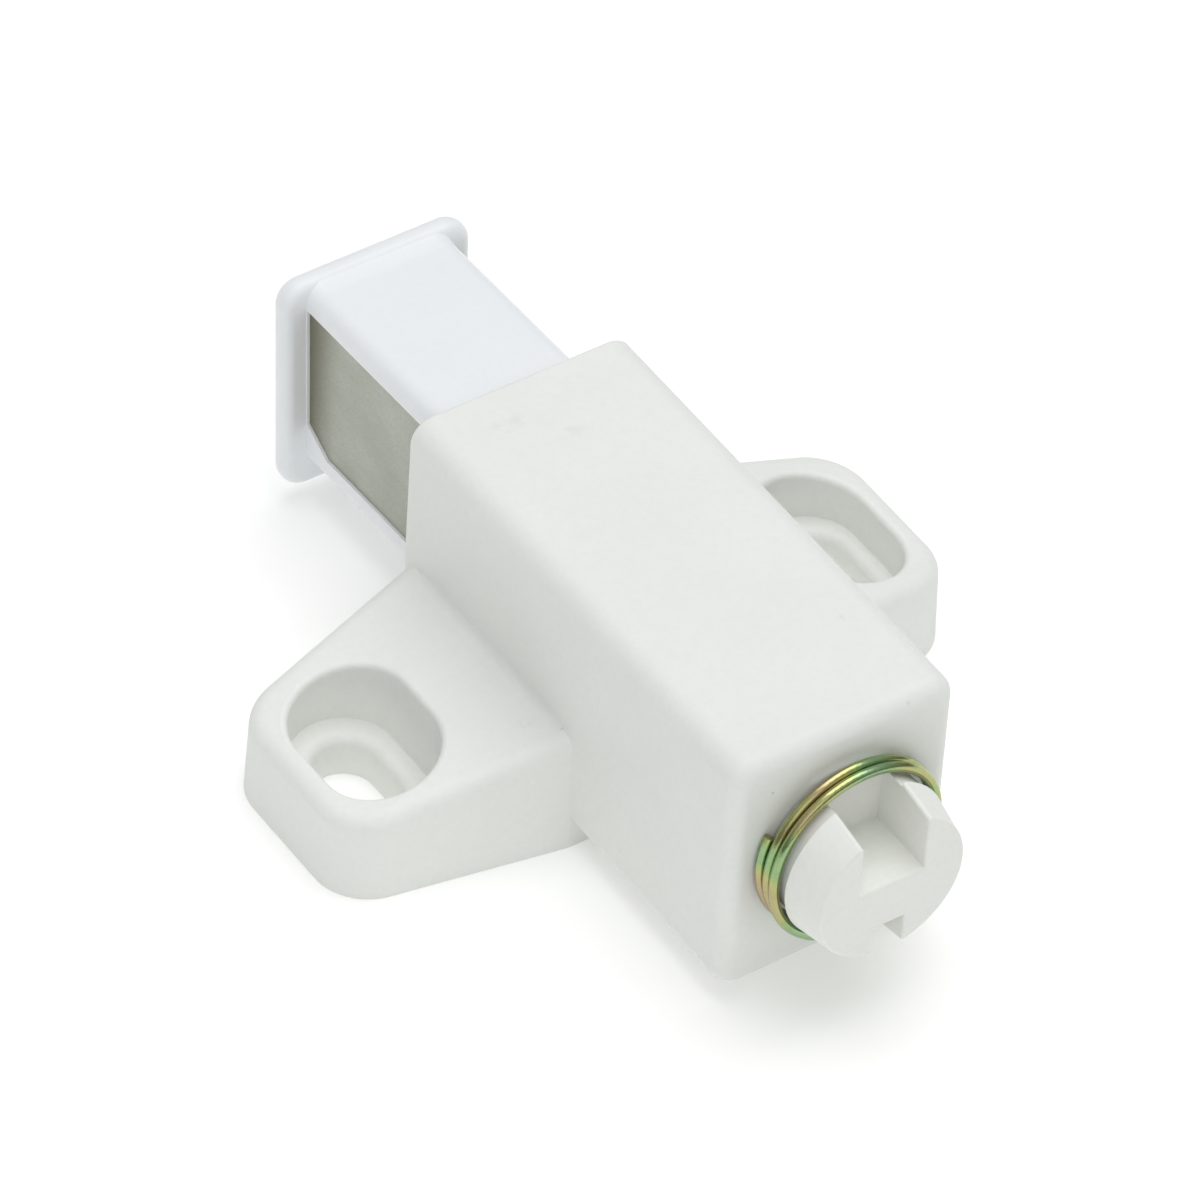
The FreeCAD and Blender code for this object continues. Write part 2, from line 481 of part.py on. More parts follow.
for name, a, b in runs:
    sk = sketch(head, "track_" + name + "_plan", "XY_Plane", "head_high - nose_tall / 2 + track_deep")
    d = V(b[0] - a[0], b[1] - a[1], 0)
    n = V(-d.y, d.x, 0).normalize() * tw
    A, B = V(a[0], a[1], 0), V(b[0], b[1], 0)
    ang = math.atan2(n.y, n.x)
    la = sk.addGeometry(Part.LineSegment(A + n, B + n), False)
    ca = sk.addGeometry(Part.ArcOfCircle(Part.Circle(B, V(0, 0, 1), tw), ang - math.pi, ang), False)
    lb = sk.addGeometry(Part.LineSegment(B - n, A - n), False)
    cb = sk.addGeometry(Part.ArcOfCircle(Part.Circle(A, V(0, 0, 1), tw), ang, ang + math.pi), False)
    put(sk, Sketcher.Constraint("Tangent", la, 2, ca, 2))
    put(sk, Sketcher.Constraint("Tangent", ca, 1, lb, 1))
    put(sk, Sketcher.Constraint("Tangent", lb, 2, cb, 2))
    put(sk, Sketcher.Constraint("Tangent", cb, 1, la, 1))
    put(sk, Sketcher.Constraint("Radius", ca, tw), "track_wide / 2")
    put(sk, Sketcher.Constraint("DistanceX", -1, 1, ca, 3, b[0]), b[2])
    put(sk, Sketcher.Constraint("DistanceY", -1, 1, ca, 3, b[1]), b[3])
    put(sk, Sketcher.Constraint("DistanceX", -1, 1, cb, 3, a[0]), a[2])
    put(sk, Sketcher.Constraint("DistanceY", -1, 1, cb, 3, a[1]), a[3])
    pocket(head, "track_" + name, sk, "5")

# ================================================================ plunger stem
# One moulding: peg, spring seat, round stem, neck for the stop ring and barbed tail, level
# along the way's axis.
stem = new_body("plunger_stem")
st = S["seat_tall"] / 2
seat_w = S["seat_wide"] / 2
sk = sketch(stem, "seat_section", "XZ_Plane", "-seat_rear")
rect(sk, -seat_w, seat_w, ax - st, ax + st, "-seat_wide / 2", "seat_wide / 2", "axis_high - seat_tall / 2", "axis_high + seat_tall / 2")
pad(stem, "seat", sk, "seat_rear - seat_front")
fillet(stem, "seat_corners", edges_where(stem.Shape, lambda p, e: near(abs(p[0].x), seat_w) and near(p[0].x, p[4].x)
       and near(p[0].z, p[4].z) and near(e.Length, S["seat_rear"] - S["seat_front"])), "seat_edge")
sk = sketch(stem, "stem_profile", "YZ_Plane")
sr, hb, he, pg = S["stem_dia"] / 2, S["head_base_dia"] / 2, S["head_end_dia"] / 2, S["peg_dia"] / 2
ym = (S["seat_front"] + S["seat_rear"]) / 2
polygon(sk, [
    (S["peg_front"], ax, "peg_front", "axis_high"),
    (S["head_end"], ax, "head_end", "axis_high"),
    (S["head_end"], ax + he, "head_end", "axis_high + head_end_dia / 2"),
    (S["head_base"], ax + hb, "head_base", "axis_high + head_base_dia / 2"),
    (S["head_base"], ax + S["neck_dia"] / 2, "head_base", "axis_high + neck_dia / 2"),
    (S["neck_front"], ax + S["neck_dia"] / 2, "neck_front", "axis_high + neck_dia / 2"),
    (S["neck_front"], ax + sr, "neck_front", "axis_high + stem_dia / 2"),
    (ym, ax + sr, "(seat_front + seat_rear) / 2", "axis_high + stem_dia / 2"),
    (ym, ax + pg, "(seat_front + seat_rear) / 2", "axis_high + peg_dia / 2"),
    (S["peg_front"], ax + pg, "peg_front", "axis_high + peg_dia / 2"),
])
rev = stem.newObject("PartDesign::Revolution", "stem_turn")
rev.Profile = sk
rev.ReferenceAxis = (sk, ["Edge1"])
rev.Angle = 360.0
doc.recompute()
# Notch on top of the tail.
sk = sketch(stem, "notch_plan", "XY_Plane", "axis_high + notch_floor_up")
rect(sk, -S["notch_wide"] / 2, S["notch_wide"] / 2, S["notch_back"], S["head_end"] + 1,
     "-notch_wide / 2", "notch_wide / 2", "notch_back", "head_end + 1")
pocket(stem, "notch", sk, "10", reverse=True)
# Keyway along the bottom of the stem and tail.
sk = sketch(stem, "key_plan", "XY_Plane", "axis_high - key_top_down")
rect(sk, -S["key_wide"] / 2, S["key_wide"] / 2, S["key_front"], S["head_end"] + 1,
     "-key_wide / 2", "key_wide / 2", "key_front", "head_end + 1")
pocket(stem, "keyway", sk, "10")

# Soft edges of the tail: the rim of its end face with the notch and keyway, and the upper
# edges of the notch on the taper.
nx, nf = S["notch_wide"] / 2, ax + S["notch_floor_up"]
fillet(stem, "tail_edges", edges_where(stem.Shape, lambda p, e: all(near(q.y, S["head_end"]) for q in p)
       or (all(near(abs(q.x), nx, 0.05) and q.z > nf + 2 for q in p) and min(q.y for q in p) > S["head_base"] - 0.1
           and abs(p[0].y - p[4].y) > 1.0)), "tail_edge")

# ================================================================ pole plates
# Flat steel sheet with one corner cut off, standing on edge beside the magnet. Its front
# edge stands a little proud of the flange.
for side, sg in (("left", 1), ("right", -1)):
    body = new_body("pole_plate_" + side)
    sk = sketch(body, "plate_side_" + side, "YZ_Plane", "plate_out - plate_thick" if sg > 0 else "-plate_out")
    front = fb - ft - S["plate_proud"]
    fe = "flange_back - flange_thick - plate_proud"
    ze, zte = low_e, top_e + " - plate_gap"
    zp = zt - S["plate_gap"]
    polygon(sk, [
        (fb + S["gusset_long"], zb, "flange_back + gusset_long", ze),
        (S["plate_rear"], zb, "plate_rear", ze),
        (S["plate_rear"], zp, "plate_rear", zte),
        (front, zp, fe, zte),
        (front, zb + S["gusset_tall"], fe, ze + " + gusset_tall"),
        (fb + S["sill"], zb + S["gusset_tall"], "flange_back + sill", ze + " + gusset_tall"),
    ])
    pad(body, "plate_" + side, sk, "plate_thick")

# ================================================================ magnet
magnet = new_body("magnet")
mi = po - pt
sk = sketch(magnet, "magnet_section", "XZ_Plane", "-magnet_rear")
rect(sk, -mi, mi, zb, zt, "-(plate_out - plate_thick)", "plate_out - plate_thick",
     low_e, top_e)
pad(magnet, "block", sk, "magnet_rear - (flange_back + gusset_long)")
chamfer(magnet, "block_edges", edges_where(magnet.Shape, lambda p, e: near(p[0].y, p[4].y) and near(abs(p[0].x), mi) and near(abs(p[4].x), mi)), "0.3")

# The head, its plates and the magnet are tipped together.
pivot = V(0, float(sheet.get("tilt_at_y")), float(sheet.get("tilt_at_z")))
tip = FreeCAD.Rotation(V(1, 0, 0), float(sheet.get("head_tilt")))
for name in ("plunger_head", "pole_plate_left", "pole_plate_right", "magnet"):
    doc.getObject(name).Placement = FreeCAD.Placement(V(0, 0, 0), tip, pivot)
doc.recompute()

# ================================================================ cam follower
# Bent wire: a leg down into the pivot hole, an arm along the floor channel and a tip up
# into the track.
follower = new_body("cam_follower")
path = sketch(follower, "wire_path", "YZ_Plane")
pr, ph, pf, ptip, bd = S["pin_dia"] / 2, S["pin_high"], S["pin_foot"], S["pin_tip"], S["pin_bend"]
l1 = path.addGeometry(Part.LineSegment(V(pv, pf, 0), V(pv, ph - bd, 0)), False)
a1 = path.addGeometry(Part.ArcOfCircle(Part.Circle(V(pv + bd, ph - bd, 0), V(0, 0, 1), bd), math.pi / 2, math.pi), False)
l2 = path.addGeometry(Part.LineSegment(V(pv + bd, ph, 0), V(t0 - bd, ph, 0)), False)
a2 = path.addGeometry(Part.ArcOfCircle(Part.Circle(V(t0 - bd, ph + bd, 0), V(0, 0, 1), bd), -math.pi / 2, 0), False)
l3 = path.addGeometry(Part.LineSegment(V(t0, ph + bd, 0), V(t0, ptip, 0)), False)
put(path, Sketcher.Constraint("Tangent", l1, 2, a1, 2))
put(path, Sketcher.Constraint("Tangent", a1, 1, l2, 1))
put(path, Sketcher.Constraint("Tangent", l2, 2, a2, 1))
put(path, Sketcher.Constraint("Tangent", a2, 2, l3, 1))
put(path, Sketcher.Constraint("Vertical", l1))
put(path, Sketcher.Constraint("Vertical", l3))
put(path, Sketcher.Constraint("Radius", a1, bd), "pin_bend")
put(path, Sketcher.Constraint("Radius", a2, bd), "pin_bend")
put(path, Sketcher.Constraint("DistanceX", -1, 1, l1, 1, pv), "track_start - arm")
put(path, Sketcher.Constraint("DistanceY", -1, 1, l1, 1, pf), "pin_foot")
put(path, Sketcher.Constraint("DistanceX", -1, 1, l3, 2, t0), "track_start")
put(path, Sketcher.Constraint("DistanceY", -1, 1, l3, 2, ptip), "pin_tip")
put(path, Sketcher.Constraint("DistanceY", -1, 1, l2, 1, ph), "pin_high")
sec = sketch(follower, "wire_section", "XY_Plane", "pin_foot")
circle(sec, 0, pv, pr, "0", "track_start - arm", "pin_dia / 2")
doc.recompute()
pipe = follower.newObject("PartDesign::AdditivePipe", "wire")
pipe.Profile = sec
pipe.Spine = (path, ["Edge%d" % i for i in range(1, 6)])
doc.recompute()


# ================================================================ coils
def coil(name, turns, pitch, mean_r, wire_r, start_y, axis_z, start_deg, splay=0.0, end_splay=0.0, lean=0.0):
    """Round wire wound about an axis parallel to Y. The path is one smooth curve through
    points of a helix; the splays lift its two ends a little off the round, and lean moves
    the bottom back and the top forward."""
    n = int(round(turns * 12))
    pts = []
    for i in range(n + 1):
        w = turns * 360.0 * i / n
        a = math.radians(start_deg + w)
        r = mean_r + splay * math.exp(-(w / 35.0) ** 2) + end_splay * math.exp(-((turns * 360.0 - w) / 90.0) ** 2)
        pts.append(V(r * math.cos(a), start_y + pitch * w / 360.0 + lean * math.sin(a), axis_z - r * math.sin(a)))
    curve = Part.BSplineCurve()
    curve.interpolate(pts)
    wire = Part.Wire([curve.toShape()])
    p0, d0 = curve.value(curve.FirstParameter), curve.tangent(curve.FirstParameter)[0]
    section = Part.Wire([Part.makeCircle(wire_r, p0, d0)])
    solid = wire.makePipeShell([section], True, True)
    if solid.ShapeType != "Solid":
        solid = Part.makeSolid(solid)
    f = doc.addObject("Part::Feature", name)
    f.Label = name
    f.Shape = solid
    return f


def size(name):
    return float(sheet.get(name))


wr = size("coil_wire") / 2
room = (size("body_rear") - size("rear_wall")) - size("seat_rear")
gap = 0.04
spring_pitch = (room - 2 * gap - 2 * wr) / size("coil_turns")
main_spring = coil("main_spring", size("coil_turns"), spring_pitch, size("coil_mean_dia") / 2, wr,
                   size("seat_rear") + gap + wr, size("axis_high"), 0.0)
stop_ring = coil("stop_ring", size("ring_turns"), size("ring_pitch"), size("ring_mean_dia") / 2, size("ring_wire") / 2,
                 size("ring_start"), size("axis_high") + size("ring_lift"), -26.0, size("ring_splay"),
                 size("ring_end_splay"), size("ring_lean"))

# ================================================================ check and write
doc.recompute()
for o in doc.Objects:
    if "Invalid" in o.State or "Error" in o.State:
        raise RuntimeError("%s is %s" % (o.Name, o.State))
nodes = [o for o in doc.Objects if o.TypeId == "PartDesign::Body"] + [main_spring, stop_ring]
os.makedirs("parts", exist_ok=True)
for o in nodes:
    if o.Shape.isNull() or not o.Shape.isValid():
        raise RuntimeError("bad shape " + o.Label)
for o in nodes:
    bb = o.Shape.BoundBox
    print("%-18s solids %d volume %9.2f  x %.2f..%.2f  y %.2f..%.2f  z %.2f..%.2f" % (
        o.Label, len(o.Shape.Solids), o.Shape.Volume, bb.XMin, bb.XMax, bb.YMin, bb.YMax, bb.ZMin, bb.ZMax))
    o.Shape.exportStep("parts/%s.step" % o.Label)
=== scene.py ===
import bpy
import bmesh
import math
from mathutils import Vector, Matrix, noise


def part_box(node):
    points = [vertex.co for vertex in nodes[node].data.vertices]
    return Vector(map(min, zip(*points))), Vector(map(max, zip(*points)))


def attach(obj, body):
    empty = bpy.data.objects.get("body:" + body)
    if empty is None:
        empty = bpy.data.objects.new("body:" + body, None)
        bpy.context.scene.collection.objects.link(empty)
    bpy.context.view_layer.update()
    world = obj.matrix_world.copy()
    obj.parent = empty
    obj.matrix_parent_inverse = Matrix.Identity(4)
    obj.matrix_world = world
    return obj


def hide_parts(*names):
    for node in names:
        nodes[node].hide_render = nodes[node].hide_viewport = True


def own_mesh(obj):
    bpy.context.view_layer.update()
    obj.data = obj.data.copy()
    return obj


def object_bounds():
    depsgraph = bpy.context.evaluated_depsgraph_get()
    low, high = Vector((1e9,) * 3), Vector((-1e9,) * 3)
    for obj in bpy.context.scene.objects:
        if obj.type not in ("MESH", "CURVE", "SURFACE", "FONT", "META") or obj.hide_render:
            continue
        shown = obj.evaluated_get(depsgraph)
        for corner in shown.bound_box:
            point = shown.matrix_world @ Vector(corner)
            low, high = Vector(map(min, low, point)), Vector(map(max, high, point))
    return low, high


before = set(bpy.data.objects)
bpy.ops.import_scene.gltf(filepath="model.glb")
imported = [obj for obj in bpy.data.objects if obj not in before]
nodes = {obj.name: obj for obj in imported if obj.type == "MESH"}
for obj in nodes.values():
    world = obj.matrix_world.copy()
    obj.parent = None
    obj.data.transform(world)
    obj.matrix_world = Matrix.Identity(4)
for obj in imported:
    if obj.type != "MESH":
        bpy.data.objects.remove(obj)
cad_box = [list(c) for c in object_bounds()]
scene = bpy.context.scene
MM = 0.001

# ------------------------------------------------------------------ colour management
scene.view_settings.view_transform = "Standard"
scene.view_settings.look = "None"
scene.view_settings.exposure = 0.0
scene.view_settings.gamma = 1.0


# ------------------------------------------------------------------ material helpers
def lin(r, g, b):
    """sRGB bytes to linear."""
    out = []
    for c in (r, g, b):
        c = c / 255.0
        out.append(c / 12.92 if c <= 0.04045 else ((c + 0.055) / 1.055) ** 2.4)
    return out + [1.0]


def material(name):
    m = bpy.data.materials.new(name)
    m.use_nodes = True
    nt = m.node_tree
    nt.nodes.clear()
    out = nt.nodes.new("ShaderNodeOutputMaterial")
    bsdf = nt.nodes.new("ShaderNodeBsdfPrincipled")
    nt.links.new(bsdf.outputs["BSDF"], out.inputs["Surface"])
    tc = nt.nodes.new("ShaderNodeTexCoord")
    return m, nt, bsdf, tc.outputs["Object"]


def tex_noise(nt, co, size_mm, detail=3.0, rough=0.5, distort=0.0):
    """Noise whose blobs are about size_mm across."""
    n = nt.nodes.new("ShaderNodeTexNoise")
    n.inputs["Scale"].default_value = 1.0 / (size_mm * MM)
    n.inputs["Detail"].default_value = detail
    n.inputs["Roughness"].default_value = rough
    n.inputs["Distortion"].default_value = distort
    nt.links.new(co, n.inputs["Vector"])
    return n.outputs["Fac"]


def ramp(nt, fac, stops):
    r = nt.nodes.new("ShaderNodeValToRGB")
    els = r.color_ramp.elements
    while len(els) < len(stops):
        els.new(0.5)
    for e, (pos, col) in zip(els, stops):
        e.position = pos
        e.color = col
    nt.links.new(fac, r.inputs["Fac"])
    return r.outputs["Color"]


def map_range(nt, val, a, b, c, d, smooth=False):
    m = nt.nodes.new("ShaderNodeMapRange")
    m.interpolation_type = "SMOOTHSTEP" if smooth else "LINEAR"
    m.inputs["From Min"].default_value = a
    m.inputs["From Max"].default_value = b
    m.inputs["To Min"].default_value = c
    m.inputs["To Max"].default_value = d
    nt.links.new(val, m.inputs["Value"])
    return m.outputs["Result"]


def maths(nt, op, a, b):
    m = nt.nodes.new("ShaderNodeMath")
    m.operation = op
    for i, v in enumerate((a, b)):
        if isinstance(v, (int, float)):
            m.inputs[i].default_value = v
        else:
            nt.links.new(v, m.inputs[i])
    return m.outputs[0]


def mix(nt, fac, a, b, blend="MIX"):
    m = nt.nodes.new("ShaderNodeMix")
    m.data_type = "RGBA"
    m.blend_type = blend
    nt.links.new(fac, m.inputs["Factor"])
    for sock, v in ((m.inputs[6], a), (m.inputs[7], b)):
        if isinstance(v, (list, tuple)):
            sock.default_value = v
        else:
            nt.links.new(v, sock)
    return m.outputs[2]


def bump(nt, height, depth_um, normal=None, strength=1.0):
    b = nt.nodes.new("ShaderNodeBump")
    b.inputs["Strength"].default_value = strength
    b.inputs["Distance"].default_value = depth_um * 1e-6
    nt.links.new(height, b.inputs["Height"])
    if normal is not None:
        nt.links.new(normal, b.inputs["Normal"])
    return b.outputs["Normal"]


def spot(nt, co, at_mm, r_mm, stretch=(1, 1, 1)):
    """Mask of a round mark: 1 in the middle, 0 from r_mm outwards. stretch > 1 shortens that axis."""
    mp = nt.nodes.new("ShaderNodeMapping")
    mp.vector_type = "POINT"
    mp.inputs["Location"].default_value = [-a * MM * s for a, s in zip(at_mm, stretch)]
    mp.inputs["Scale"].default_value = stretch
    nt.links.new(co, mp.inputs["Vector"])
    ln = nt.nodes.new("ShaderNodeVectorMath")
    ln.operation = "LENGTH"
    nt.links.new(mp.outputs["Vector"], ln.inputs[0])
    return map_range(nt, ln.outputs["Value"], r_mm * MM * 0.35, r_mm * MM, 1.0, 0.0, True)


def axis_of(nt, co, i):
    s = nt.nodes.new("ShaderNodeSeparateXYZ")
    nt.links.new(co, s.inputs[0])
    return s.outputs[i]


def plastic(name, tints, rough, grain_mm, grain_um, marks=(), wave_um=6.0, spec=0.5):
    """Moulded plastic: faint cloudy tint, fine surface grain, slow waviness, small marks."""
    m, nt, bsdf, co = material(name)
    cloud = tex_noise(nt, co, 9.0, 4.0, 0.55)
    col = ramp(nt, cloud, [(0.3, tints[0]), (0.7, tints[1])])
    fine = tex_noise(nt, co, 0.45, 3.0, 0.6)
    col = mix(nt, map_range(nt, fine, 0.35, 0.75, 0.0, 0.35), col, tints[2])
    for mk in marks:
        mask = spot(nt, co, mk["at"], mk["r"], mk.get("stretch", (1, 1, 1)))
        if mk.get("broken"):
            mask = maths(nt, "MULTIPLY", mask, map_range(nt, tex_noise(nt, co, mk["broken"], 3.0, 0.6), 0.42, 0.6, 0.0, 1.0))
        mask = maths(nt, "MULTIPLY", mask, mk["weight"])
        col = mix(nt, mask, col, mk["colour"])
    nt.links.new(col, bsdf.inputs["Base Color"])
    grain = tex_noise(nt, co, grain_mm, 2.0, 0.6)
    slow = tex_noise(nt, co, 5.0, 2.0, 0.5)
    nt.links.new(map_range(nt, tex_noise(nt, co, 2.5, 3.0, 0.5), 0.3, 0.7, rough - 0.05, rough + 0.05), bsdf.inputs["Roughness"])
    nrm = bump(nt, slow, wave_um * 5)
    nt.links.new(bump(nt, grain, grain_um, nrm), bsdf.inputs["Normal"])
    bsdf.inputs["Specular IOR Level"].default_value = spec
    bsdf.inputs["IOR"].default_value = 1.49
    return m


# ------------------------------------------------------------------ materials
GREY = lin(120, 122, 118)
housing_marks = [
    dict(at=(7.78, 24.93, 9.45), r=0.16, weight=0.85, colour=GREY),
    dict(at=(5.22, 25.1, 17.2), r=0.13, weight=0.5, colour=lin(160, 162, 158)),
    dict(at=(-4.45, 25.0, 19.6), r=0.24, weight=0.3, colour=lin(178, 179, 174)),
    dict(at=(2.96, -6.84, 20.0), r=1.7, weight=0.16, colour=lin(196, 200, 192), stretch=(1.0, 1.8, 1.0), broken=0.9),
    dict(at=(0.07, -4.29, 20.0), r=1.3, weight=0.15, colour=lin(196, 200, 194), stretch=(1.0, 1.6, 1.0), broken=0.8),
    dict(at=(-4.9, 17.05, 20.0), r=0.9, weight=0.2, colour=lin(200, 203, 200), stretch=(4.0, 1.0, 1.0), broken=0.4),
    dict(at=(9.47, 5.83, 8.6), r=0.6, weight=0.22, colour=lin(196, 201, 197), broken=0.4),
]
m_housing = plastic("housing_plastic", [lin(235, 237, 233), lin(239, 241, 237), lin(229, 231, 226)], 0.56, 0.16, 14.0, housing_marks)
m_head = plastic("plunger_plastic", [lin(240, 243, 245), lin(243, 245, 247), lin(236, 239, 242)], 0.36, 0.3, 3.0)
m_stem = plastic("stem_plastic", [lin(237, 238, 233), lin(240, 241, 236), lin(229, 230, 224)], 0.5, 0.2, 9.0)


def plated_sheet(name):
    """Dull zinc-plated steel sheet: cloudy olive grey with fine speckle, with painted shade at the front: darker and
    browner where the plate sits against the flange.
    """
    m, nt, bsdf, co = material(name)
    mp = nt.nodes.new("ShaderNodeMapping")
    mp.inputs["Scale"].default_value = (1.0, 0.2, 1.0)
    nt.links.new(co, mp.inputs["Vector"])
    lines = tex_noise(nt, mp.outputs["Vector"], 0.3, 3.0, 0.6)
    cloud = tex_noise(nt, co, 4.5, 3.0, 0.55)
    speck = tex_noise(nt, co, 0.14, 2.0, 0.6)
    col = ramp(nt, cloud, [(0.3, lin(170, 173, 161)), (0.7, lin(186, 188, 179))])
    col = mix(nt, map_range(nt, lines, 0.4, 0.75, 0.0, 0.14), col, lin(149, 150, 138))
    col = mix(nt, map_range(nt, speck, 0.45, 0.75, 0.0, 0.4), col, lin(156, 158, 146))
    # painted shade: a darker, browner band along the front end of the plate, next to the flange
    y = axis_of(nt, co, 1)
    front = map_range(nt, y, -0.0252, -0.0216, 0.75, 0.0, True)
    col = mix(nt, front, col, lin(124, 119, 98))
    nt.links.new(col, bsdf.inputs["Base Color"])
    bsdf.inputs["Metallic"].default_value = 0.8
    nt.links.new(map_range(nt, speck, 0.3, 0.7, 0.46, 0.6), bsdf.inputs["Roughness"])
    nt.links.new(bump(nt, speck, 1.5), bsdf.inputs["Normal"])
    return m


m_plate = plated_sheet("pole_steel")


def ferrite(name):
    m, nt, bsdf, co = material(name)
    g = tex_noise(nt, co, 0.5, 5.0, 0.65)
    col = ramp(nt, g, [(0.3, lin(38, 38, 40)), (0.7, lin(62, 61, 62))])
    nt.links.new(col, bsdf.inputs["Base Color"])
    nt.links.new(map_range(nt, g, 0.3, 0.7, 0.6, 0.8), bsdf.inputs["Roughness"])
    nt.links.new(bump(nt, g, 25.0), bsdf.inputs["Normal"])
    return m


m_magnet = ferrite("ferrite")


def wire_steel(name):
    m, nt, bsdf, co = material(name)
    g = tex_noise(nt, co, 0.4, 4.0, 0.6)
    col = ramp(nt, g, [(0.3, lin(176, 178, 182)), (0.7, lin(205, 206, 208))])
    nt.links.new(col, bsdf.inputs["Base Color"])
    bsdf.inputs["Metallic"].default_value = 1.0
    nt.links.new(map_range(nt, g, 0.3, 0.7, 0.24, 0.36), bsdf.inputs["Roughness"])
    nt.links.new(bump(nt, g, 2.0), bsdf.inputs["Normal"])
    return m


m_wire = wire_steel("spring_steel")


def yellow_zinc(name):
    """Yellow passivated zinc on wire: gold, green and pink lengths that run into each other."""
    m, nt, bsdf, co = material(name)
    patch = tex_noise(nt, co, 4.5, 1.5, 0.45, 0.3)
    col = ramp(nt, patch, [
        (0.3, lin(178, 156, 126)), (0.4, lin(178, 176, 120)), (0.48, lin(160, 178, 120)),
        (0.58, lin(144, 176, 130)), (0.68, lin(164, 186, 150)), (0.78, lin(186, 190, 134))])
    fine = tex_noise(nt, co, 0.6, 3.0, 0.55)
    col = mix(nt, map_range(nt, fine, 0.5, 0.8, 0.0, 0.25), col, lin(138, 134, 92))
    nt.links.new(col, bsdf.inputs["Base Color"])
    bsdf.inputs["Metallic"].default_value = 1.0
    nt.links.new(map_range(nt, fine, 0.3, 0.7, 0.17, 0.25), bsdf.inputs["Roughness"])
    nt.links.new(bump(nt, fine, 2.0), bsdf.inputs["Normal"])
    return m


m_ring = yellow_zinc("yellow_zinc")

for node, mat in (("housing", m_housing), ("plunger_head", m_head), ("plunger_stem", m_stem),
                  ("pole_plate_left", m_plate), ("pole_plate_right", m_plate), ("magnet", m_magnet),
                  ("main_spring", m_wire), ("stop_ring", m_ring), ("cam_follower", m_wire)):
    o = nodes[node]
    o.data.materials.clear()
    o.data.materials.append(mat)


# ------------------------------------------------------------------ wound wire
def sweep(name, pts, radius, sides, mat, body, node):
    """Round wire along a list of points, with domed ends."""
    bm = bmesh.new()
    tang = []
    n = len(pts)
    for i in range(n):
        tang.append((pts[min(i + 1, n - 1)] - pts[max(i - 1, 0)]).normalized())
    ref = Vector((0, 1, 0))
    rings = []

    def ring(c, t, r):
        side = ref.cross(t).normalized()
        up = t.cross(side).normalized()
        return [bm.verts.new(c + side * (math.cos(a) * r) + up * (math.sin(a) * r))
                for a in (2 * math.pi * k / sides for k in range(sides))]
    dome = 4
    for k in range(dome):
        a = math.pi / 2 * (k + 0.35) / (dome + 0.35)
        rings.append(ring(pts[0] - tang[0] * radius * 0.55 * math.cos(a), tang[0], radius * math.sin(a)))
    for p, t in zip(pts, tang):
        rings.append(ring(p, t, radius))
    for k in reversed(range(dome)):
        a = math.pi / 2 * (k + 0.35) / (dome + 0.35)
        rings.append(ring(pts[-1] + tang[-1] * radius * 0.55 * math.cos(a), tang[-1], radius * math.sin(a)))
    for a, b in zip(rings, rings[1:]):
        for k in range(sides):
            bm.faces.new((a[k], a[(k + 1) % sides], b[(k + 1) % sides], b[k]))
    bm.faces.new(list(reversed(rings[0])))
    bm.faces.new(rings[-1])
    bmesh.ops.recalc_face_normals(bm, faces=bm.faces)
    me = bpy.data.meshes.new(name)
    bm.to_mesh(me)
    bm.free()
    for p in me.polygons:
        p.use_smooth = True
    me.materials.append(mat)
    o = bpy.data.objects.new(name, me)
    scene.collection.objects.link(o)
    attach(o, body)
    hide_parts(node)
    return o


lo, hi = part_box("main_spring")
AX = (lo[2] + hi[2]) / 2
wire = 0.3 * MM
mean = (hi[0] - lo[0]) / 2 - wire
y0, y1 = lo[1] + wire, hi[1] - wire
turns, steps = 10.0, 56
pts = []
for i in range(int(turns * steps) + 1):
    tt = i / steps
    close = 0.612 * MM
    pitch = (y1 - y0 - 2 * close) / (turns - 2)
    if tt <= 1:
        y = y0 + close * tt
    elif tt >= turns - 1:
        y = y1 - close * (turns - tt)
    else:
        y = y0 + close + pitch * (tt - 1)
    a = 2 * math.pi * tt
    pts.append(Vector((mean * math.cos(a), y, AX - mean * math.sin(a))))
coil = sweep("main_spring_coil", pts, wire, 14, m_wire, "housing_body", "main_spring")
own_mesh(coil)

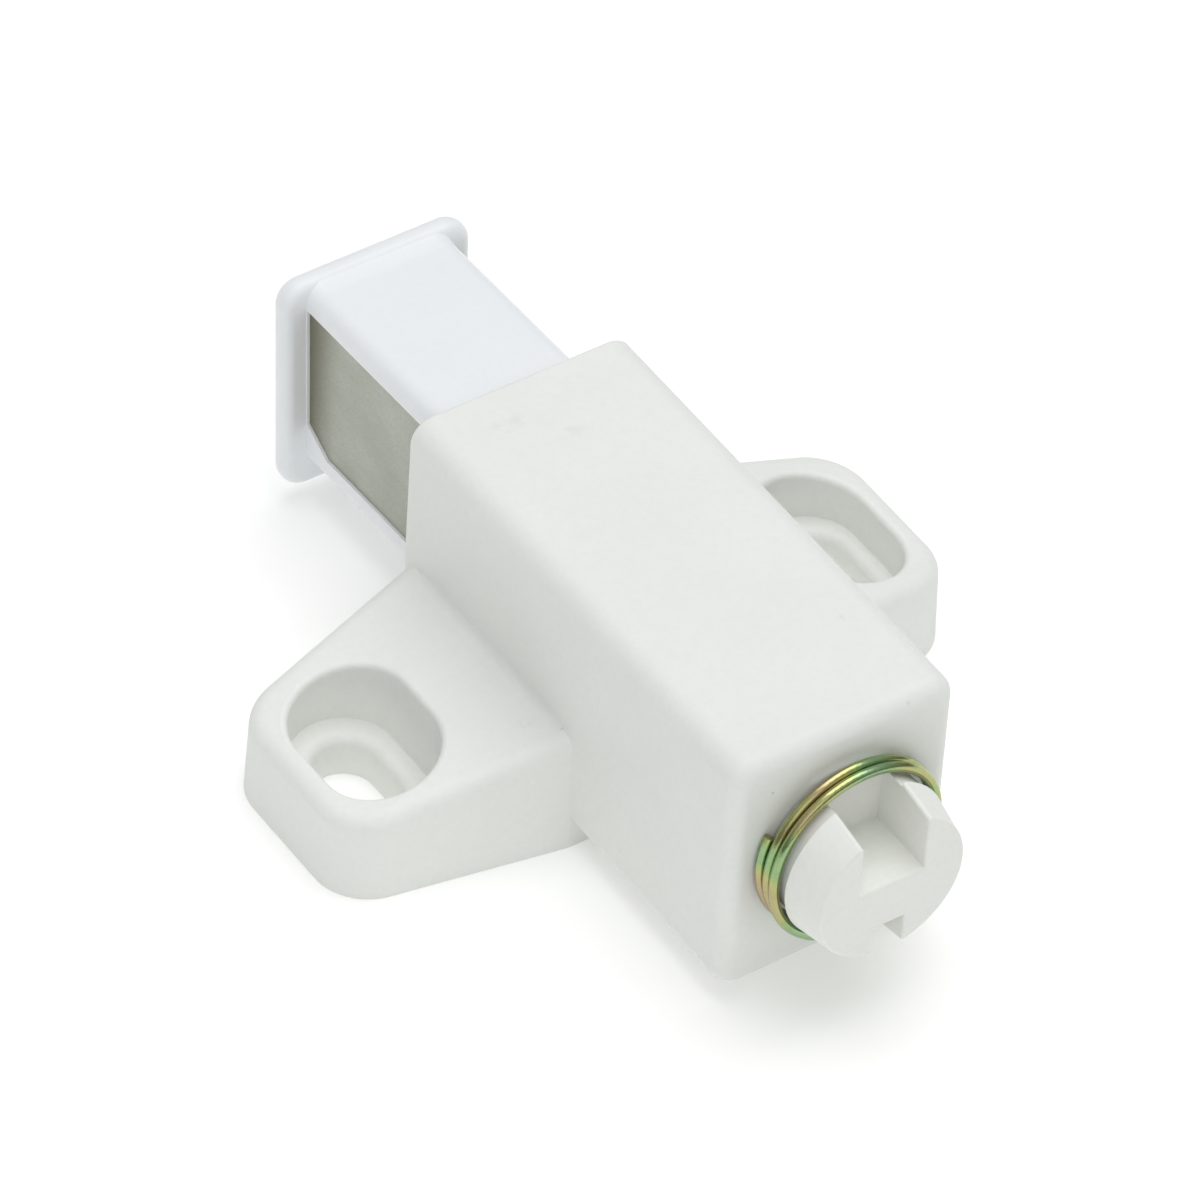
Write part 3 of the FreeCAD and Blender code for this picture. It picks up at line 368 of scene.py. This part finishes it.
# ------------------------------------------------------------------ floor, light, camera
fm, fnt, fb, fco = material("floor_paper")
fcol = ramp(fnt, tex_noise(fnt, fco, 30.0, 2.0), [(0.3, (0.955, 0.955, 0.952, 1)), (0.7, (0.965, 0.965, 0.962, 1))])
fnt.links.new(fcol, fb.inputs["Base Color"])
fb.inputs["Roughness"].default_value = 0.9
fb.inputs["Specular IOR Level"].default_value = 0.1
fb.inputs["Emission Color"].default_value = (1.0, 0.995, 0.975, 1.0)
fb.inputs["Emission Strength"].default_value = 0.195
bm = bmesh.new()
bmesh.ops.create_grid(bm, x_segments=2, y_segments=2, size=1.5)
me = bpy.data.meshes.new("floor")
bm.to_mesh(me)
bm.free()
me.materials.append(fm)
floor = bpy.data.objects.new("floor", me)
floor.location = (0, 0, cad_box[0][2] - 0.00002)
scene.collection.objects.link(floor)

world = bpy.data.worlds.new("studio")
scene.world = world
world.use_nodes = True
wt = world.node_tree
bg = wt.nodes["Background"]
wco = wt.nodes.new("ShaderNodeTexCoord")
up = axis_of(wt, wco.outputs["Generated"], 2)
sky = ramp(wt, up, [(0.0, (0.12, 0.118, 0.11, 1)), (1.0, (0.775, 0.785, 0.795, 1))])
wt.links.new(sky, bg.inputs["Color"])
bg.inputs["Strength"].default_value = 1.0


def softbox(name, at, size, watts, target=(0, 0.004, 0.01), colour=(1, 1, 1)):
    l = bpy.data.lights.new(name, "AREA")
    l.shape = "SQUARE"
    l.size = size
    l.energy = watts
    l.color = colour
    o = bpy.data.objects.new(name, l)
    o.location = at
    d = Vector(target) - Vector(at)
    o.rotation_euler = d.to_track_quat("-Z", "Y").to_euler()
    scene.collection.objects.link(o)
    return o


softbox("overhead", (-0.1, -0.02, 0.67), 0.6, 1.98)
softbox("fill", (0.33, 0.45, 0.34), 0.5, 0.44)

cam = bpy.data.cameras.new("camera")
cam.sensor_fit = "HORIZONTAL"
cam.sensor_width = 36.0
cam.lens = 300.0
cam.clip_start = 0.01
cam.clip_end = 10.0
co = bpy.data.objects.new("camera", cam)
right = Vector((-0.8291514793547367, 0.5568850385314573, 0.04885568691226174))
down = Vector((0.3605913900062827, 0.5995700107304308, -0.7144855853591784))
fwd = Vector((-0.42717873745914425, -0.5747998400247936, -0.6979423114916325))
place = Vector((0.2603745745579081, 0.3501470665230017, 0.43460392050037177))
co.matrix_world = Matrix((
    (right.x, -down.x, -fwd.x, place.x),
    (right.y, -down.y, -fwd.y, place.y),
    (right.z, -down.z, -fwd.z, place.z),
    (0, 0, 0, 1)))
scene.collection.objects.link(co)
scene.camera = co

bpy.context.view_layer.update()
